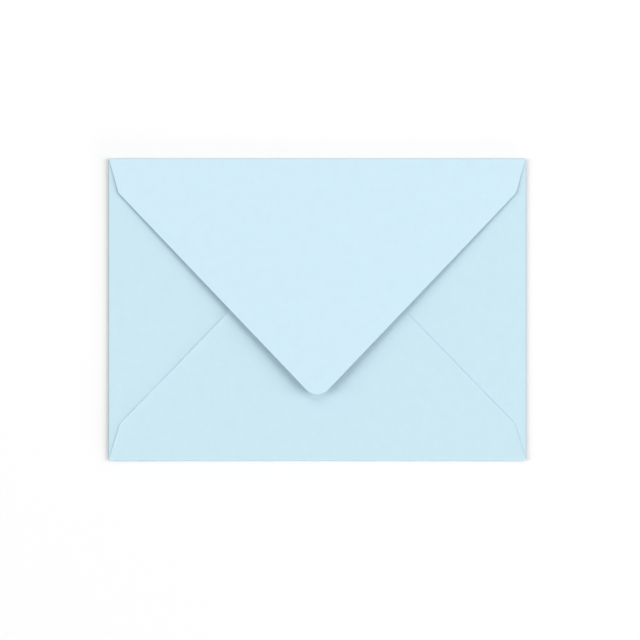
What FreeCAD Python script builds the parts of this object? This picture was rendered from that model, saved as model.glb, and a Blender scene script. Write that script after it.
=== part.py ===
import FreeCAD, Part
import math
import os
from collections import namedtuple

# A paper envelope with pointed flaps: one sheet, cut to a blank, folded four times and glued.
# It lies face down, as it comes to rest, so its back and its closing flap look up (+Z).
# The origin is under the middle of the front panel. X runs along the closing fold, and
# +Y points from the bottom fold to the closing fold. Lengths are in millimetres.

# The sheet and the closed envelope.
WIDTH = 184.0  # outside, along the closing fold
HEIGHT = 133.0  # outside, from the closing fold to the bottom fold
PAPER = 0.15  # thickness of the sheet
POCKET_GAP = 0.8  # clear height inside the empty pocket, at the side folds

# The closing flap at the top. It isn't stuck down, so it springs up from its fold.
CLOSING_DEPTH = 103.6  # from the outside of the fold to the tip
CLOSING_INSET = 4.65  # how far each shoulder stands in from the side of the envelope
CLOSING_SHOULDER = 15.2  # how far each shoulder lies from the outside of the fold
CLOSING_TIP_RADIUS = 6.8
CLOSING_CLEARANCE = 0.1  # between the flap and the side flaps at the fold
CLOSING_LIFT = 2.8  # degrees that the flap rises from its fold

# The bottom flap. It is glued over the two side flaps.
BOTTOM_DEPTH = 94.7
BOTTOM_INSET = 5.15
BOTTOM_SHOULDER = 16.1
BOTTOM_TIP_RADIUS = 25.0

# The two side flaps, folded in first.
SIDE_DEPTH = 72.0
SIDE_INSET = 3.9
SIDE_SHOULDER = 15.0
SIDE_TIP_RADIUS = 8.0

# Every shoulder is cut with this small round corner.
SHOULDER_RADIUS = 2.0

# Heights of the layers, from the table up.
SIDE_LEVEL = PAPER + POCKET_GAP  # underside of the side flaps
BOTTOM_LEVEL = SIDE_LEVEL + PAPER  # underside of the bottom flap, on the side flaps
CLOSING_LEVEL = BOTTOM_LEVEL + CLOSING_CLEARANCE  # underside of the closing flap at its fold


def outer_fold_radius(level):
    """Outside radius of a fold that turns the sheet over to a flap at this height."""
    return (level - PAPER) / 2 + PAPER


SIDE_FOLD = outer_fold_radius(SIDE_LEVEL)
BOTTOM_FOLD = outer_fold_radius(BOTTOM_LEVEL)
CLOSING_FOLD = outer_fold_radius(CLOSING_LEVEL)

# The flat front panel ends where each fold begins to turn up.
PANEL_X = WIDTH / 2 - SIDE_FOLD
PANEL_TOP = HEIGHT / 2 - CLOSING_FOLD
PANEL_BOTTOM = -HEIGHT / 2 + BOTTOM_FOLD

# One flap is its fold and its cut: half the fold's length, half the envelope's outside
# length along that side, the height and rise of the sheet, and the outline's four sizes.
Flap = namedtuple("Flap", "fold_half outside_half level lift depth inset shoulder tip_radius")

CLOSING = Flap(
    PANEL_X,
    WIDTH / 2,
    CLOSING_LEVEL,
    CLOSING_LIFT,
    CLOSING_DEPTH,
    CLOSING_INSET,
    CLOSING_SHOULDER,
    CLOSING_TIP_RADIUS,
)
BOTTOM = Flap(
    PANEL_X,
    WIDTH / 2,
    BOTTOM_LEVEL,
    0,
    BOTTOM_DEPTH,
    BOTTOM_INSET,
    BOTTOM_SHOULDER,
    BOTTOM_TIP_RADIUS,
)
SIDE = Flap(
    (PANEL_TOP - PANEL_BOTTOM) / 2,
    HEIGHT / 2,
    SIDE_LEVEL,
    0,
    SIDE_DEPTH,
    SIDE_INSET,
    SIDE_SHOULDER,
    SIDE_TIP_RADIUS,
)


def polar(centre, radius, degrees):
    """The point at this angle on a circle in the XY plane."""
    angle = math.radians(degrees)
    return FreeCAD.Vector(centre.x + radius * math.cos(angle), centre.y + radius * math.sin(angle), 0)


def bearing(start, end):
    """Angle of the line from start to end, in degrees from +X."""
    return math.degrees(math.atan2(end.y - start.y, end.x - start.x))


def line(start, end):
    return Part.LineSegment(start, end).toShape()


def arc(centre, radius, first, last):
    """Arc from one angle to another, through the angle halfway."""
    middle = polar(centre, radius, (first + last) / 2)
    return Part.Arc(polar(centre, radius, first), middle, polar(centre, radius, last)).toShape()


def mirrored(point):
    return FreeCAD.Vector(-point.x, point.y, 0)


def flap_outline(flap):
    """Plan of a folded flap, with the envelope's edge on y = 0 and the tip towards +Y.

    The edge leaves the fold's end, turns at a rounded shoulder and runs straight to the
    arc of the tip, which it meets without a kink.
    """
    edge = FreeCAD.Vector(flap.fold_half, 0, 0)
    crease = FreeCAD.Vector(flap.fold_half, outer_fold_radius(flap.level), 0)
    corner = FreeCAD.Vector(flap.outside_half - flap.inset, flap.shoulder, 0)
    tip_centre = FreeCAD.Vector(0, flap.depth - flap.tip_radius, 0)
    reach = corner.distanceToPoint(tip_centre)
    run = bearing(corner, tip_centre) - math.degrees(math.asin(flap.tip_radius / reach))
    tip_end = polar(tip_centre, flap.tip_radius, run - 90)

    # The shoulder's arc touches both straight edges.
    rise = bearing(crease, corner)
    cut = SHOULDER_RADIUS * math.tan(math.radians(run - rise) / 2)
    shoulder_start = polar(corner, -cut, rise)
    shoulder_end = polar(corner, cut, run)
    shoulder_centre = polar(shoulder_start, SHOULDER_RADIUS, rise + 90)

    edges = [
        line(edge, crease),
        line(crease, shoulder_start),
        arc(shoulder_centre, SHOULDER_RADIUS, rise - 90, run - 90),
        line(shoulder_end, tip_end),
        arc(tip_centre, flap.tip_radius, run - 90, 270 - run),
        line(mirrored(tip_end), mirrored(shoulder_end)),
        arc(mirrored(shoulder_centre), SHOULDER_RADIUS, 270 - run, 270 - rise),
        line(mirrored(shoulder_start), mirrored(crease)),
        line(mirrored(crease), mirrored(edge)),
        line(mirrored(edge), edge),
    ]
    return Part.Wire(edges)


def flap_section(flap):
    """Section of a fold and its flap: u runs in from the envelope's edge, v runs up.

    The fold is half a tube of paper. The flap leaves its top, level or rising, and runs on
    past the tip, where the outline cuts it.
    """
    outer = outer_fold_radius(flap.level)
    inner = outer - PAPER
    centre = FreeCAD.Vector(outer, outer, 0)
    top = polar(centre, outer, 90)
    underside = polar(centre, inner, 90)
    along = FreeCAD.Vector(flap.depth, flap.depth * math.tan(math.radians(flap.lift)), 0)
    edges = [
        arc(centre, outer, 270, 90),
        line(top, top + along),
        line(top + along, underside + along),
        line(underside + along, underside),
        arc(centre, inner, 90, 270),
        line(polar(centre, inner, 270), polar(centre, outer, 270)),
    ]
    return Part.Wire(edges)


def folded_flap(flap):
    """One fold with its flap, standing on z = 0 with the envelope's edge on y = 0."""
    section = Part.Face(flap_section(flap))
    # A third of a turn about (1, 1, 1) stands the section up: u to +Y and v to +Z.
    upright = FreeCAD.Rotation(FreeCAD.Vector(1, 1, 1), 120)
    section.Placement = FreeCAD.Placement(FreeCAD.Vector(-flap.fold_half, 0, 0), upright)
    strip = section.extrude(FreeCAD.Vector(2 * flap.fold_half, 0, 0))
    above_all = FreeCAD.Vector(0, 0, flap.level + flap.depth)
    return strip.common(Part.Face(flap_outline(flap)).extrude(above_all))


def placed(shape, angle, x, y):
    """The shape turned about Z by this many degrees, then moved."""
    turned = shape.copy()
    turn = FreeCAD.Rotation(FreeCAD.Vector(0, 0, 1), angle)
    turned.Placement = FreeCAD.Placement(FreeCAD.Vector(x, y, 0), turn)
    return turned


def front_panel():
    corner = FreeCAD.Vector(-PANEL_X, PANEL_BOTTOM, 0)
    return Part.makeBox(2 * PANEL_X, PANEL_TOP - PANEL_BOTTOM, PAPER, corner)


def closing_flap():
    return placed(folded_flap(CLOSING), 180, 0, HEIGHT / 2)


def bottom_flap():
    return placed(folded_flap(BOTTOM), 0, 0, -HEIGHT / 2)


def side_flap(side):
    """The flap on the right for side 1, on the left for side -1."""
    return placed(folded_flap(SIDE), 90 * side, side * WIDTH / 2, (PANEL_TOP + PANEL_BOTTOM) / 2)


def envelope():
    """The whole folded sheet. The glued seams are where the bottom flap lies on the side flaps."""
    flaps = [side_flap(-1), side_flap(1), bottom_flap(), closing_flap()]
    return front_panel().fuse(flaps).removeSplitter()


def main():
    os.makedirs("parts", exist_ok=True)
    sheet = envelope()
    sheet.exportStep("parts/envelope.step")
    box = sheet.BoundBox
    print("solids", len(sheet.Solids), "valid", sheet.isValid(), "volume", round(sheet.Volume, 2))
    print("size", round(box.XLength, 3), round(box.YLength, 3), round(box.ZLength, 3))


main()
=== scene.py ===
# %% [markdown]
# A paper envelope, made the way a stationer makes one
#
# The real thing is one sheet of light blue writing paper. A die cuts it to a blank with four
# pointed flaps, and four folds turn the blank into a pocket: the two side flaps first, the
# bottom flap glued over them, and the closing flap folded over last but not stuck down.
#
# It could be built as a pile of flat layers. This lesson follows the stationer instead: it
# draws the flat blank, scores it into a fine grid so that it can bend, folds it by a formula,
# and then gives it thickness, paper and light. The sizes come first, from the CAD frame that
# the finished piece has to match.

# %% Load the frame and read its box
import math
from collections import namedtuple

import bmesh
import bpy
from mathutils import Matrix, Vector, noise


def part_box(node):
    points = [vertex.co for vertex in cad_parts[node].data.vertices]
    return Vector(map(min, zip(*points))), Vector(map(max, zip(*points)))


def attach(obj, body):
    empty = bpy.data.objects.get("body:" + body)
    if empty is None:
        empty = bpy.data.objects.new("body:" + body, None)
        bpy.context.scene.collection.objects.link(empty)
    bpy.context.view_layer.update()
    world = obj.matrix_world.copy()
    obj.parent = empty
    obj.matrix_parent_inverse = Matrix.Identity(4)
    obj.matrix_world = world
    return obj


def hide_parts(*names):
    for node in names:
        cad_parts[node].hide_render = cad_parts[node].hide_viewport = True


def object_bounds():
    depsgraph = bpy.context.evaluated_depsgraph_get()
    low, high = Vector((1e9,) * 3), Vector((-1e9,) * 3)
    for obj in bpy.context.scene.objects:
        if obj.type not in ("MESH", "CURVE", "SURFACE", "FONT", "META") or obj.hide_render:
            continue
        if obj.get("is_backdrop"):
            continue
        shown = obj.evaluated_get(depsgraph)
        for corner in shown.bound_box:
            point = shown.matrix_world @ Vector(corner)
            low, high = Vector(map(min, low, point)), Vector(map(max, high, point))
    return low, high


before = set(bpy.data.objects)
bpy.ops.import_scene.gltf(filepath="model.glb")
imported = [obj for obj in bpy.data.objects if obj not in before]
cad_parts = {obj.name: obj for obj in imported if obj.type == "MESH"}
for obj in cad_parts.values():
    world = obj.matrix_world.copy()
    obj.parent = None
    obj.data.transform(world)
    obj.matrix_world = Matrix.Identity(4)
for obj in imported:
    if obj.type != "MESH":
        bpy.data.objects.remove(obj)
cad_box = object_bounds()

MM = 0.001
CM = 0.01
low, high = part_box("envelope")
WIDTH = high.x - low.x
HEIGHT = high.y - low.y
print("nodes in the frame:", list(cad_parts))
print("envelope of", round(WIDTH / MM, 1), "by", round(HEIGHT / MM, 1), "mm")
print("height of the loose flap's tip in mm:", round(high.z / MM, 2))

# %% [markdown]
# The sheet, its folds and its flaps
#
# An envelope's paper is about 0.15 mm thick, and every fold is half a tube of it: the flap
# comes back over the panel at the height of whatever lies between. The side flaps lie over
# the empty pocket, the bottom flap lies on the side flaps, and the closing flap clears both.
#
# A mesh could be made for each layer by itself, but then the layers would only look joined.
# Here each flap is one record of numbers, and one formula folds all four.

# %% Sizes of the sheet and the layers
PAPER = 0.15 * MM
POCKET_GAP = 0.8 * MM
GLUE_GAP = 0.02 * MM  # the film of gum under the bottom flap
CLOSING_CLEARANCE = 0.1 * MM

SIDE_LEVEL = PAPER + POCKET_GAP
BOTTOM_LEVEL = SIDE_LEVEL + PAPER + GLUE_GAP
CLOSING_LEVEL = BOTTOM_LEVEL + CLOSING_CLEARANCE


def fold_radius(level):
    """Outside radius of the fold that lays a flap's underside at this height."""
    return (level + PAPER) / 2


PANEL_RIGHT = WIDTH / 2 - fold_radius(SIDE_LEVEL)
PANEL_TOP = HEIGHT / 2 - fold_radius(CLOSING_LEVEL)
PANEL_BOTTOM = -HEIGHT / 2 + fold_radius(BOTTOM_LEVEL)
LEVELS = (SIDE_LEVEL, BOTTOM_LEVEL, CLOSING_LEVEL)
print("folds' outside radii in mm:", [round(fold_radius(level) / MM, 3) for level in LEVELS])

# %% The four flaps
# turn is the way the flap leaves the panel, in degrees from +Y, and start is how far out the
# panel ends there. middle is the place of the fold's middle, along is half the fold's length,
# and outside is half the envelope's own length on that side. level is the height of the flap's
# underside, and rise is its angle up from the fold. The rest are the sizes of its cut.
PLACE = "turn start middle along outside level rise"
CUT = "depth inset shoulder tip_radius"
Flap = namedtuple("Flap", PLACE + " " + CUT)

CLOSING_RISE = math.radians(2.8)
SHOULDER_RADIUS = 2.0 * MM
SIDE_ALONG = (PANEL_TOP - PANEL_BOTTOM) / 2
SIDE_MIDDLE = (PANEL_TOP + PANEL_BOTTOM) / 2

closing = Flap(
    0, PANEL_TOP, 0, PANEL_RIGHT, WIDTH / 2, CLOSING_LEVEL, CLOSING_RISE,
    depth=103.6 * MM, inset=4.65 * MM, shoulder=15.2 * MM, tip_radius=6.8 * MM,
)
bottom = Flap(
    180, -PANEL_BOTTOM, 0, PANEL_RIGHT, WIDTH / 2, BOTTOM_LEVEL, 0,
    depth=94.7 * MM, inset=5.15 * MM, shoulder=16.1 * MM, tip_radius=25 * MM,
)
left = Flap(
    90, PANEL_RIGHT, SIDE_MIDDLE, SIDE_ALONG, HEIGHT / 2, SIDE_LEVEL, 0,
    depth=72 * MM, inset=3.9 * MM, shoulder=15 * MM, tip_radius=8 * MM,
)
right = left._replace(turn=270, middle=-SIDE_MIDDLE)
flaps = [left, right, bottom, closing]
print(len(flaps), "flaps, depths in mm:", [round(flap.depth / MM, 1) for flap in flaps])

# %% [markdown]
# Folding by arc length
#
# Paper bends but doesn't stretch, so a point keeps its distance along the sheet. A point that
# lies a distance past the panel's edge first goes round the fold, and what is left of its
# distance runs on along the flap. An armature or a Simple Deform modifier could turn the
# flaps too, but both stretch the sheet at a fold this tight, and this formula doesn't.


# %% From the flat sheet to the folded one
def middle_radius(flap):
    """Radius of the fold to the middle of the sheet's thickness."""
    return fold_radius(flap.level) - PAPER / 2


def fold_length(flap):
    """Length of paper in the fold, along the middle of its thickness."""
    return math.pi * middle_radius(flap)


def folded(flap, past):
    """Distance in from the envelope's edge, and height, of a point this far past the panel."""
    outer = fold_radius(flap.level)
    if past <= fold_length(flap):
        angle = past / middle_radius(flap)
        inward = outer - middle_radius(flap) * math.sin(angle)
        return inward, outer - middle_radius(flap) * math.cos(angle)
    rest = past - fold_length(flap)
    top = outer + middle_radius(flap)
    return outer + rest * math.cos(flap.rise), top + rest * math.sin(flap.rise)


def unfolded(flap, inward):
    """The distance past the panel of a point on the flap, from its distance in from the edge."""
    return fold_length(flap) + (inward - fold_radius(flap.level)) / math.cos(flap.rise)


for flap in flaps:
    past_panel = unfolded(flap, flap.depth)
    print("flap at", flap.turn, "degrees reaches", round(past_panel / MM, 2), "mm past the panel")

# %% [markdown]
# The die-cut outline
#
# A flap's cut runs in from the end of its fold, turns at a small round shoulder and goes
# straight to a rounded tip. Both round stretches meet the straight ones without a kink, so
# the tangent points are worked out instead of being placed by eye. A Bezier curve would look
# much the same, but a steel die is bent from straight rule and true arcs.


# %% The right half of a flap's cut
def bearing(start, end):
    """Angle of the line from start to end, from +X."""
    return math.atan2(end.y - start.y, end.x - start.x)


def from_centre(centre, radius, angle):
    """The point at this angle on a circle."""
    return centre + radius * Vector((math.cos(angle), math.sin(angle)))


def arc(centre, radius, first, last, steps):
    """Points along an arc, both ends included."""
    angles = [first + (last - first) * i / steps for i in range(steps + 1)]
    return [from_centre(centre, radius, angle) for angle in angles]


SHOULDER_STEPS = 4
TIP_STEPS = 14


def fold_end(flap):
    """Where the cut leaves the fold: x runs along the fold, y in from the edge."""
    return Vector((flap.along, fold_radius(flap.level)))


def slanted_cut(flap):
    """The corner where the slanted cut starts, the centre of the tip, and the cut's angle."""
    corner = Vector((flap.outside - flap.inset, flap.shoulder))
    tip_centre = Vector((0, flap.depth - flap.tip_radius))
    reach = (tip_centre - corner).length
    angle = bearing(corner, tip_centre) - math.asin(flap.tip_radius / reach)
    return corner, tip_centre, angle


def half_outline(flap):
    """Points from the fold's end to the tip."""
    corner, tip_centre, run = slanted_cut(flap)
    rise = bearing(fold_end(flap), corner)
    cut = SHOULDER_RADIUS * math.tan((run - rise) / 2)
    quarter = math.pi / 2
    shoulder_centre = from_centre(from_centre(corner, -cut, rise), SHOULDER_RADIUS, rise + quarter)
    shoulder = arc(shoulder_centre, SHOULDER_RADIUS, rise - quarter, run - quarter, SHOULDER_STEPS)
    tip = arc(tip_centre, flap.tip_radius, run - quarter, quarter, TIP_STEPS)
    return [fold_end(flap)] + shoulder + tip


print("points on half of the closing flap's cut:", len(half_outline(closing)))

# %% [markdown]
# The flat blank
#
# The blank is drawn as five faces: the front panel, and each flap with its fold. They share
# the corners of the panel, so the sheet is one connected surface, as it is when it leaves
# the die. One filled curve round the whole blank would look the same while it is flat, but
# it would have no edge along the folds. Drawing half of each outline and mirroring it keeps
# the two halves alike.


# %% Draw the blank in the plane
def on_blank(flap, along, past):
    """Where a point of a flap lies on the flat sheet."""
    upright = Vector((along + flap.middle, flap.start + past))
    return Matrix.Rotation(math.radians(flap.turn), 2) @ upright


SAME_POINT = 4  # decimals of a millimetre to which two corners agree when they are one
blank = bmesh.new()
corners = {}


def sheet_vertex(point):
    """A vertex of the blank. Faces that meet at a point get the same one."""
    key = (round(point.x / MM, SAME_POINT), round(point.y / MM, SAME_POINT))
    if key not in corners:
        corners[key] = blank.verts.new((point.x, point.y, 0))
    return corners[key]


def draw_flap(flap):
    """One face: from the panel's corner out along the cut, round the tip and back."""
    half = [(flap.along, 0)] + [(p.x, unfolded(flap, p.y)) for p in half_outline(flap)]
    other_half = [(-along, past) for along, past in half[-2::-1]]
    outline = [on_blank(flap, along, past) for along, past in half + other_half]
    blank.faces.new([sheet_vertex(point) for point in outline])


panel = [
    Vector((PANEL_RIGHT, PANEL_TOP)),
    Vector((-PANEL_RIGHT, PANEL_TOP)),
    Vector((-PANEL_RIGHT, PANEL_BOTTOM)),
    Vector((PANEL_RIGHT, PANEL_BOTTOM)),
]
blank.faces.new([sheet_vertex(point) for point in panel])
for flap in flaps:
    draw_flap(flap)
blank.normal_update()
blank_area = sum(face.calc_area() for face in blank.faces)
print("blank of", len(blank.faces), "faces, area", round(blank_area / CM**2, 1), "square cm")

# %% [markdown]
# Scoring the sheet so that it can bend
#
# Five big faces can't bend, so the sheet is cut into a grid. Inset first lays a narrow band
# along every cut edge, which later carries a painted highlight along the cut. Then Bisect slices
# the whole sheet along straight lines: finely across each fold, and a few millimetres apart
# everywhere else. Subdividing would follow the outline's slanted edges instead, and the
# bends would show its crooked quads.

# %% The band along the cut edges
EDGE_BAND = 0.5 * MM
bmesh.ops.inset_region(
    blank, faces=blank.faces[:], thickness=EDGE_BAND, use_boundary=True, use_even_offset=True
)
# A vertex on the cut edge is marked for the painted highlight.
painted_highlight_layer = blank.verts.layers.float.new("rim")
for vertex in blank.verts:
    vertex[painted_highlight_layer] = 1.0 if vertex.is_boundary else 0.0
print("vertices on the cut edge:", sum(1 for vertex in blank.verts if vertex.is_boundary))

# %% The score lines
GRID = 2.5 * MM
FOLD_STEPS = 8
HOLD = 0.12 * MM
SLICE_SNAP = 0.01 * MM
X_AXIS = Vector((1, 0, 0))
Y_AXIS = Vector((0, 1, 0))


def slice_sheet(axis, places):
    """Cut the sheet straight across at these places along an axis."""
    for place in places:
        everything = blank.verts[:] + blank.edges[:] + blank.faces[:]
        plane = {"plane_co": axis * place, "plane_no": axis}
        bmesh.ops.bisect_plane(blank, geom=everything, dist=SLICE_SNAP, **plane)


def places_between(first, last):
    """Evenly spaced places about one grid step apart, without the two ends."""
    count = max(1, round(abs(last - first) / GRID))
    return [first + (last - first) * i / count for i in range(1, count)]


def places_across(flap, sign):
    """The score lines over one fold and its flap, out to the flap's tip."""
    fold = [flap.start + fold_length(flap) * i / FOLD_STEPS for i in range(FOLD_STEPS + 1)]
    # A line just off each end of the bend keeps its round shading out of the flat paper.
    held = [fold[0] - HOLD] + fold + [fold[-1] + HOLD]
    tip = flap.start + unfolded(flap, flap.depth)
    return [sign * place for place in held + places_between(fold[-1], tip)]


slice_sheet(X_AXIS, places_between(-PANEL_RIGHT, PANEL_RIGHT))
slice_sheet(X_AXIS, places_across(left, -1) + places_across(right, 1))
slice_sheet(Y_AXIS, places_between(PANEL_BOTTOM, PANEL_TOP))
slice_sheet(Y_AXIS, places_across(closing, 1) + places_across(bottom, -1))
many_sided = [face for face in blank.faces if len(face.verts) > 4]
bmesh.ops.triangulate(blank, faces=many_sided)
print("scored sheet:", len(blank.faces), "faces")

# %% [markdown]
# How the dry paper springs
#
# Nothing about a folded envelope is quite flat. The folds push the pocket open, so that its
# back rises in a low crown, and all four folds let go of the table. The loose flap hangs a
# little hollow on its way to the tip, and the glued flap's edge lifts by a hair, because the
# gum stops a few millimetres short of the cut. These heights are tenths of a millimetre, but
# they decide where the light and the thin shadow lines fall.
#
# Cloth simulation could make such bends, though paper is too stiff for it to settle well, so
# each one is a small smooth function of the place on the envelope.

# %% The open pocket
CROWN = 0.3 * MM
SIDE_LIFT = 0.2 * MM  # of the two side folds, above the table
END_LIFT = 0.2 * MM  # of the closing fold and the bottom fold
WAVE = 0.07 * MM
WAVE_LENGTH = 48 * MM
BACK_PATTERN = 3.1  # another number gives another set of waves


def smooth(value):
    """Rises gently from 0 to 1."""
    value = min(1, max(0, value))
    return value * value * (3 - 2 * value)


def held_by_folds(x, y):
    """1 in the middle of the envelope and 0 along its folds."""
    return max(0, (1 - (2 * x / WIDTH) ** 2) * (1 - (2 * y / HEIGHT) ** 2))


def wave(x, y, pattern):
    """Height of the faint long waves that damp air leaves in a sheet."""
    return WAVE * noise.noise(Vector((x / WAVE_LENGTH, y / WAVE_LENGTH, pattern)))


def front_relief(x, y):
    """The front panel's shallow dish: it lies on the table in its middle."""
    return SIDE_LIFT * (2 * x / WIDTH) ** 2 + END_LIFT * (2 * y / HEIGHT) ** 2


def back_relief(x, y):
    """The back follows the dish along the folds and rises over the pocket between them."""
    held = held_by_folds(x, y)
    return front_relief(x, y) + CROWN * held + wave(x, y, BACK_PATTERN) * math.sqrt(held)


rises = [round(back_relief(x, 0) / MM, 3) for x in (0, WIDTH / 2)]
print("back's rise in mm, in the middle and at a side:", rises)

# %% The lifted edge of the glued flap
LIP = 0.22 * MM
LIP_WIDTH = 3.5 * MM
LIP_START = 5 * MM  # the lip grows to its full height over this distance from the fold
LIP_PATCH = 11 * MM  # its height changes over about this distance
LIP_PATTERN = 7.7
LIP_MEAN = 0.8
LIP_SPREAD = 0.35


def inside_cut(flap, along, inward):
    """How far a point of the flap lies inside the nearer of its two straight cuts."""
    corner, _, angle = slanted_cut(flap)
    point = Vector((abs(along), inward))
    slant = Vector((math.cos(angle), math.sin(angle)))
    short = (corner - fold_end(flap)).normalized()
    return min(slant.cross(point - corner), short.cross(point - fold_end(flap)))


def seam_lip(flap, along, inward):
    """Height of the unglued edge: most at the cut, and none where the gum starts."""
    unglued = max(0, 1 - inside_cut(flap, along, inward) / LIP_WIDTH) ** 2
    patch = noise.noise(Vector((along / LIP_PATCH, inward / LIP_PATCH, LIP_PATTERN)))
    return LIP * unglued * (LIP_MEAN + LIP_SPREAD * patch) * smooth(inward / LIP_START)


BY_THE_SEAM = (62 * MM, 40 * MM)
from_cut = round(inside_cut(bottom, *BY_THE_SEAM) / MM, 2)
lip_there = round(seam_lip(bottom, *BY_THE_SEAM) / MM, 3)
print("the lip is", lip_there, "mm high at", from_cut, "mm inside the cut")

# %% The height that each flap gains
HOLLOW = 0.06 * MM
LOOSE_WAVE = 1.2  # the loose flap's waves, against the back's
LOOSE_PATTERN = 9.4


def relief(flap, along, inward, plan):
    """Extra height of the sheet at a point of a flap, above its straight folded place."""
    if flap is closing:
        share = inward / flap.depth
        # A parabola that is deepest halfway, and waves that have grown to their height by there.
        hollow = -4 * HOLLOW * share * (1 - share)
        waved = LOOSE_WAVE * wave(plan.x, plan.y, LOOSE_PATTERN) * smooth(share * 2)
        return front_relief(plan.x, HEIGHT / 2) * (1 - share) + hollow + waved
    lip = seam_lip(flap, along, inward) if flap is bottom else 0
    return back_relief(plan.x, plan.y) + lip


halfway = closing.depth / 2
middle_of_flap = relief(closing, 0, halfway, Vector((0, HEIGHT / 2 - halfway)))
print("closing flap's extra height in mm, halfway:", round(middle_of_flap / MM, 3))

# %% [markdown]
# Folding the blank
#
# A stationer folds one flap after the other over a blade. Turning each flap's vertices with
# the Rotate tool would do the same by hand, but it would leave sharp creases and no spring.
# Here every vertex finds the flap that it belongs to from its place on the sheet, and goes
# straight to its folded place.
#
# Before it is moved, its place on the flat sheet is stored on it, so that the paper's grain
# later follows the sheet round its folds. The side folds are marked for painted shade, and the
# loose flap for a painted lighter tone.

# %% Fold every vertex
FOLD_SHADE_GROWTH = 4  # the painted fold shade is at its full strength over the middle half of the bend
sheet_layer = blank.verts.layers.float_vector.new("sheet")
painted_shade_layer = blank.verts.layers.float.new("crease")
painted_light_layer = blank.verts.layers.float.new("loose")


def on_flap(flap, point):
    """A point of the blank as the flap sees it: along its fold, and past the panel's edge."""
    local = Matrix.Rotation(-math.radians(flap.turn), 2) @ point.xy
    return local.x - flap.middle, local.y - flap.start


def flap_under(point):
    """The flap that the point lies farthest out on, with the point's along and past."""
    flap = max(flaps, key=lambda candidate: on_flap(candidate, point)[1])
    return flap, *on_flap(flap, point)


def fold_vertex(vertex):
    """Store the vertex's flat place, move it to its folded one, and mark it."""
    flap, along, past = flap_under(vertex.co)
    vertex[sheet_layer] = vertex.co
    if past <= 0:
        vertex.co.z = PAPER / 2 + front_relief(vertex.co.x, vertex.co.y)
        return
    inward, height = folded(flap, past)
    plan = on_blank(flap, along, fold_radius(flap.level) - inward)
    bend = min(1, past / fold_length(flap))
    turned_over = smooth(bend)
    below = front_relief(plan.x, plan.y)
    above = relief(flap, along, inward, plan)
    vertex.co = (plan.x, plan.y, height + below + turned_over * (above - below))
    # Only the side folds get the painted shade, a dark line along the left and right edges.
    if flap in (left, right):
        vertex[painted_shade_layer] = smooth(FOLD_SHADE_GROWTH * min(bend, 1 - bend))
    # The loose flap is marked for its painted light, a lighter tone all over it.
    if flap is closing:
        vertex[painted_light_layer] = turned_over


for vertex in blank.verts:
    fold_vertex(vertex)
heights = [vertex.co.z / MM for vertex in blank.verts]
print("folded sheet from", round(min(heights), 3), "to", round(max(heights), 3), "mm high")

# %% [markdown]
# Thickness
#
# So far the sheet is a surface through the middle of the paper. A Solidify modifier gives it
# both faces and the cut edge between them. It works along each vertex's own direction, so it
# also goes round the folds evenly, which extruding upwards wouldn't. It is applied at once,
# and the angle between faces then decides which edges look sharp: the cuts do, the folds don't.

# %% Make the sheet an object and thicken it
SHARP_ANGLE = math.radians(40)

flat_mesh = bpy.data.meshes.new("envelope_sheet")
blank.to_mesh(flat_mesh)
blank.free()
sheet = bpy.data.objects.new("envelope_sheet", flat_mesh)
bpy.context.scene.collection.objects.link(sheet)

thicken = sheet.modifiers.new("paper", "SOLIDIFY")
thicken.thickness = PAPER
thicken.offset = 0
thicken.use_even_offset = True
thickened = sheet.evaluated_get(bpy.context.evaluated_depsgraph_get())
thick_mesh = bpy.data.meshes.new_from_object(thickened)
sheet.modifiers.clear()
sheet.data = thick_mesh
bpy.data.meshes.remove(flat_mesh)
thick_mesh.name = "envelope_sheet"
thick_mesh.shade_smooth()
thick_mesh.set_sharp_from_angle(angle=SHARP_ANGLE)
print("paper:", len(thick_mesh.vertices), "vertices,", len(thick_mesh.polygons), "faces")

# %% Check that the sheet is closed and weighs what it should
check = bmesh.new()
check.from_mesh(thick_mesh)
open_edges = sum(1 for edge in check.edges if not edge.is_manifold)
volume = check.calc_volume()
check.free()
print("open edges:", open_edges, "volume in cubic mm:", round(volume / MM**3, 1))
print("blank's area times thickness:", round(blank_area * PAPER / MM**3, 1))

# %% [markdown]
# The paper
#
# The sheet is uncoated, wood-free writing paper, dyed in the pulp. It has no coating to shine,
# so its roughness is high and its gloss low. Looked at closely it isn't one colour: the pulp
# settles in faint clouds of a few millimetres, called the formation, and over them lies the
# fine tooth that the felt leaves. Fibres lie mostly along the paper machine's direction, so
# the finest pattern is drawn out along one side of the sheet. All of it is very faint.
#
# An image of paper would show the same, but it would have to be fitted to each flap. Noise
# that reads the stored place on the flat sheet follows the paper round its folds by itself.


# %% Helpers for colours and nodes
def linear(hex_colour):
    """An sRGB colour such as 'cdeaf5' as the linear values that Blender's sockets take."""
    channels = [int(hex_colour[i : i + 2], 16) / 255 for i in (0, 2, 4)]
    return [c / 12.92 if c <= 0.04045 else ((c + 0.055) / 1.055) ** 2.4 for c in channels] + [1]


def add(tree, kind, settings):
    """Add a node. A setting is a property, a socket's value, or the output that feeds it."""
    node = tree.nodes.new(kind)
    for name, value in settings.items():
        if isinstance(value, bpy.types.NodeSocket):
            tree.links.new(value, node.inputs[name])
        elif isinstance(name, int) or name in node.inputs:
            node.inputs[name].default_value = value
        else:
            setattr(node, name, value)
    return node


def new_material(name):
    """A material with an empty node tree."""
    material = bpy.data.materials.new(name)
    material.use_nodes = True
    material.node_tree.nodes.clear()
    return material


print("the colour cdeaf5 in linear values:", [round(c, 3) for c in linear("cdeaf5")[:3]])

# %% Uncoated blue writing paper
# The picture is overexposed, so the paper's own blues are darker than they look in it.
PAPER_BLUE = linear("b6d0da")
PAINTED_LIGHT_FLAP_BLUE = linear("bbd4df")  # painted light: the loose flap is painted a shade lighter all over
PAINTED_SHADE_FOLD_BLUE = linear("98abb4")  # painted shade along the side folds
PAINTED_HIGHLIGHT_CUT_BLUE = linear("c0d8e2")  # painted highlight along the cut edges
THIN_SHARE = 0.975  # how much light comes back where the pulp lies thin

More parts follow.
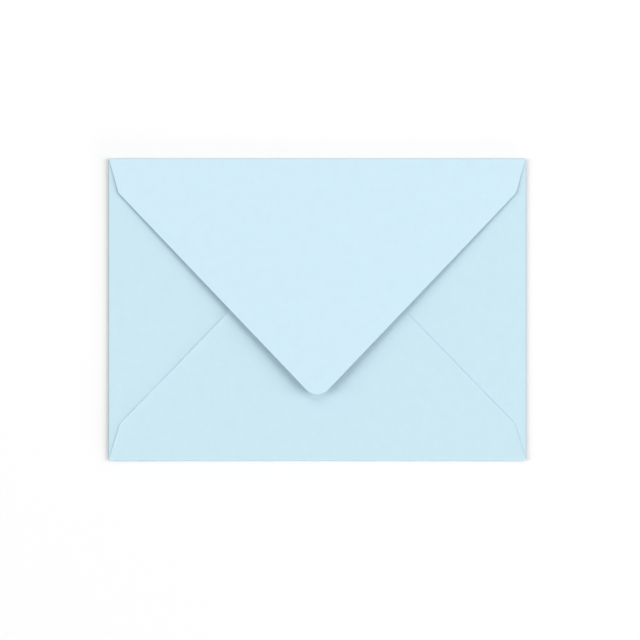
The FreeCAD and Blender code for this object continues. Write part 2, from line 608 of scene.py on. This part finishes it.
CLOUD_SIZE = 5 * MM
CLOUD_DETAIL = 3.0
TOOTH_SIZE = 0.9 * MM  # the felt's mark is about 0.3 mm, drawn coarser so that it can show
TOOTH_DETAIL = 4.0
TOOTH_DEPTH = 0.006 * MM
TOOTH_STRENGTH = 0.6
FIBRE_STRETCH = 2.5
THIN_PULP, THICK_PULP = 0.35, 0.65  # most of the noise's values lie between these


def writing_paper():
    """Dull blue paper with its clouds and its tooth, painted a shade lighter on the loose flap,
    with painted shade along the side folds and a painted highlight along the cuts.
    """
    material = new_material("uncoated_writing_paper")
    tree = material.node_tree
    place = add(tree, "ShaderNodeAttribute", {"attribute_name": "sheet"}).outputs["Vector"]

    clouds = {"Vector": place, "Scale": 1 / CLOUD_SIZE, "Detail": CLOUD_DETAIL}
    cloud = add(tree, "ShaderNodeTexNoise", clouds)
    stretch = {"Vector": place, "Scale": (1 / FIBRE_STRETCH, 1, 1)}
    drawn_out = add(tree, "ShaderNodeMapping", stretch).outputs["Vector"]
    fibres = {"Vector": drawn_out, "Scale": 1 / TOOTH_SIZE, "Detail": TOOTH_DETAIL}
    tooth = add(tree, "ShaderNodeTexNoise", fibres)
    # A Mix node's numbers are sockets 0, 2 and 3 and output 0. Its colours are 6, 7 and output 2.
    both = {0: 0.5, 2: cloud.outputs["Fac"], 3: tooth.outputs["Fac"]}
    pulp = add(tree, "ShaderNodeMix", both).outputs[0]
    # A Map Range node's sockets 1 and 2 are the lowest and highest input, 3 is the lowest result.
    density = {"Value": pulp, 1: THIN_PULP, 2: THICK_PULP, 3: THIN_SHARE}
    formation = add(tree, "ShaderNodeMapRange", density).outputs["Result"]

    # Painted light and shade: the loose flap lighter, the side folds darker, the cut edges
    # lighter.
    tone = PAPER_BLUE
    for mark, blue in (("loose", PAINTED_LIGHT_FLAP_BLUE), ("crease", PAINTED_SHADE_FOLD_BLUE), ("rim", PAINTED_HIGHLIGHT_CUT_BLUE)):
        amount = add(tree, "ShaderNodeAttribute", {"attribute_name": mark}).outputs["Fac"]
        marked = {"data_type": "RGBA", 0: amount, 6: tone, 7: blue}
        tone = add(tree, "ShaderNodeMix", marked).outputs[2]
    clouded = {"data_type": "RGBA", "blend_type": "MULTIPLY", 0: 1.0, 6: tone, 7: formation}
    tone = add(tree, "ShaderNodeMix", clouded).outputs[2]

    felt = {"Height": tooth.outputs["Fac"], "Distance": TOOTH_DEPTH, "Strength": TOOTH_STRENGTH}
    bump = add(tree, "ShaderNodeBump", felt).outputs["Normal"]
    finish = {"Roughness": 0.88, "Specular IOR Level": 0.3, "Normal": bump}
    surface = add(tree, "ShaderNodeBsdfPrincipled", finish | {"Base Color": tone})
    add(tree, "ShaderNodeOutputMaterial", {"Surface": surface.outputs["BSDF"]})
    return material


sheet.data.materials.append(writing_paper())
print("paper's nodes:", len(sheet.data.materials[0].node_tree.nodes))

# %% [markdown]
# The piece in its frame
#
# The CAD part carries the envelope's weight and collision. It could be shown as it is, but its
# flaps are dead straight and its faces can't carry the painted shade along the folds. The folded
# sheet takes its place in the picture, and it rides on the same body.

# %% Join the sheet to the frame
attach(sheet, "root")
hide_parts("envelope")
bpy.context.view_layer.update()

# %% [markdown]
# The white sweep
#
# The envelope lies on a matt paper sweep, as for a catalogue picture, and the camera is opened
# until the sweep burns out to white. A white world with no floor would look alike from above,
# but nothing would catch the soft shadow round the envelope. The sweep has no gloss at all,
# because burnt-out paper shows none.

# %% Lay the sweep
FLOOR_SIZE = 4.4


def white_sweep():
    """Matt sweep paper, a shade under white."""
    material = new_material("white_paper_sweep")
    tree = material.node_tree
    matt = {"Base Color": linear("e3e3e3"), "Roughness": 1.0, "Specular IOR Level": 0.0}
    surface = add(tree, "ShaderNodeBsdfPrincipled", matt)
    add(tree, "ShaderNodeOutputMaterial", {"Surface": surface.outputs["BSDF"]})
    return material


floor_mesh = bpy.data.meshes.new("floor")
half = FLOOR_SIZE / 2
floor_corners = [(-half, -half, 0), (half, -half, 0), (half, half, 0), (-half, half, 0)]
floor_mesh.from_pydata(floor_corners, [], [(0, 1, 2, 3)])
floor_mesh.materials.append(white_sweep())
floor = bpy.data.objects.new("floor", floor_mesh)
bpy.context.scene.collection.objects.link(floor)
floor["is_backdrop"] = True
print("floor:", FLOOR_SIZE, "m wide")

# %% [markdown]
# The room
#
# A studio isn't black around its lamps. Its pale walls send a little light in under the flap,
# and its ceiling stays dim, because the lamps face away from it. One even grey would be simpler,
# but light from overhead reaches nearly everywhere and would wash out the flap's shadow. So the
# world's strength falls with height, from the walls near the horizon to the ceiling.

# %% Pale walls and a dim ceiling
EXPOSURE = 1.23  # how far the camera is opened
CEILING_SHARE = 0.3
WALL_SHARE = 0.8
WALL_TOP = math.radians(6)
WALL_FADE = math.radians(14)  # the angle up at which the wall has turned into the ceiling's tone

world = bpy.data.worlds.new("pale_room")
world.use_nodes = True
background = world.node_tree.nodes["Background"]
direction = add(world.node_tree, "ShaderNodeTexCoord", {}).outputs["Generated"]
upward = add(world.node_tree, "ShaderNodeSeparateXYZ", {"Vector": direction}).outputs["Z"]
# Sockets 1 and 2 are the lowest and highest input, 3 and 4 the results there.
fade = {"Value": upward, 1: math.sin(WALL_TOP), 2: math.sin(WALL_FADE)}
tones = {3: EXPOSURE * WALL_SHARE, 4: EXPOSURE * CEILING_SHARE}
room = add(world.node_tree, "ShaderNodeMapRange", fade | tones).outputs["Result"]
world.node_tree.links.new(room, background.inputs["Strength"])
background.inputs["Color"].default_value = (1, 1, 1, 1)
bpy.context.scene.world = world
print("room's strength at the walls and overhead:", [round(v, 3) for v in tones.values()])

# %% [markdown]
# The soft boxes
#
# Two tall soft boxes light the envelope from its sides at under forty degrees, and a third
# comes over its top edge. They are big, so the shadow beside the loose flap has no hard line,
# and they stand low, so it reaches farther than the flap stands up. One lamp overhead would
# light the paper as well but leave the flap nearly without a shadow.
#
# A long low strip at the front, barely above the floor, draws the faint long halo on the far
# side of the envelope.

# %% Four area lights
BOX_DISTANCE = 3.0


def soft_box(name, aim, width, height, share):
    """A rectangular soft light that faces the envelope.

    aim is its bearing from +X and its angle up, in degrees. share is the light that it adds to
    the floor, as a share of what a white world would give there.
    """
    around, up = math.radians(aim[0]), math.radians(aim[1])
    level = BOX_DISTANCE * math.cos(up)
    height_up = BOX_DISTANCE * math.sin(up)
    place = Vector((level * math.cos(around), level * math.sin(around), height_up))
    light = bpy.data.lights.new(name, "AREA")
    light.shape = "RECTANGLE"
    light.size = width
    light.size_y = height
    # A small lamp of this power lights the floor like a white world of strength EXPOSURE * share.
    light.energy = EXPOSURE * share * (math.pi * BOX_DISTANCE) ** 2 / math.sin(up)
    lamp = bpy.data.objects.new(name, light)
    lamp.location = place
    lamp.rotation_euler = (-place).to_track_quat("-Z", "Y").to_euler()
    lamp.visible_camera = False
    bpy.context.scene.collection.objects.link(lamp)
    print(name, "at", [round(v, 2) for v in place], "m,", round(light.energy, 1), "W")


soft_box("right_box", (0, 37), width=1.6, height=2.2, share=0.366)
soft_box("left_box", (180, 37), width=1.6, height=2.2, share=0.297)
soft_box("top_box", (90, 50), width=1.6, height=1.5, share=0.138)
soft_box("low_strip", (305, 7), width=1.2, height=0.5, share=0.038)
bpy.context.scene.view_settings.view_transform = "Standard"

# %% [markdown]
# Camera
#
# The photograph looks straight down on the envelope. Its own outline gives the scale: so many
# pixels for 184 mm. The camera could stand close with a short lens, but a long lens about 1.6 m
# up keeps the raised flap from looking larger than it is. The camera stands a little off the
# middle, so that the envelope falls in the same place in the frame.

# %% Place the camera from the photograph's frame
PHOTO_SIDE = 640
PHOTO_LEFT, PHOTO_RIGHT = 108.3, 526.3
PHOTO_TOP, PHOTO_BOTTOM = 158.1, 461.0
LENS = 200.0
OUTLINE_HEIGHT = 0.6 * MM  # of the folds' widest line, which draws the outline

camera_data = bpy.data.cameras.new("camera")
camera_data.lens = LENS
pixel = WIDTH / (PHOTO_RIGHT - PHOTO_LEFT)
distance = PHOTO_SIDE * pixel * LENS / camera_data.sensor_width
aside = (PHOTO_SIDE / 2 - (PHOTO_LEFT + PHOTO_RIGHT) / 2) * pixel
below = ((PHOTO_TOP + PHOTO_BOTTOM) / 2 - PHOTO_SIDE / 2) * pixel
camera = bpy.data.objects.new("camera", camera_data)
camera.location = (aside, below, distance + OUTLINE_HEIGHT)
bpy.context.scene.collection.objects.link(camera)
bpy.context.scene.camera = camera
print("a pixel is", round(pixel / MM, 4), "mm, camera at", [round(v, 4) for v in camera.location])

# %% [markdown]
# Sizes, and the end
#
# The two boxes are printed side by side, so that the dressed envelope can be held against the
# CAD one.

# %% Write the sizes and finish
visual_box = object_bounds()
boxes = {"cad": cad_box, "visual": visual_box}
for name, box in boxes.items():
    print(name, "box in mm:", [[round(v / MM, 2) for v in corner] for corner in box])
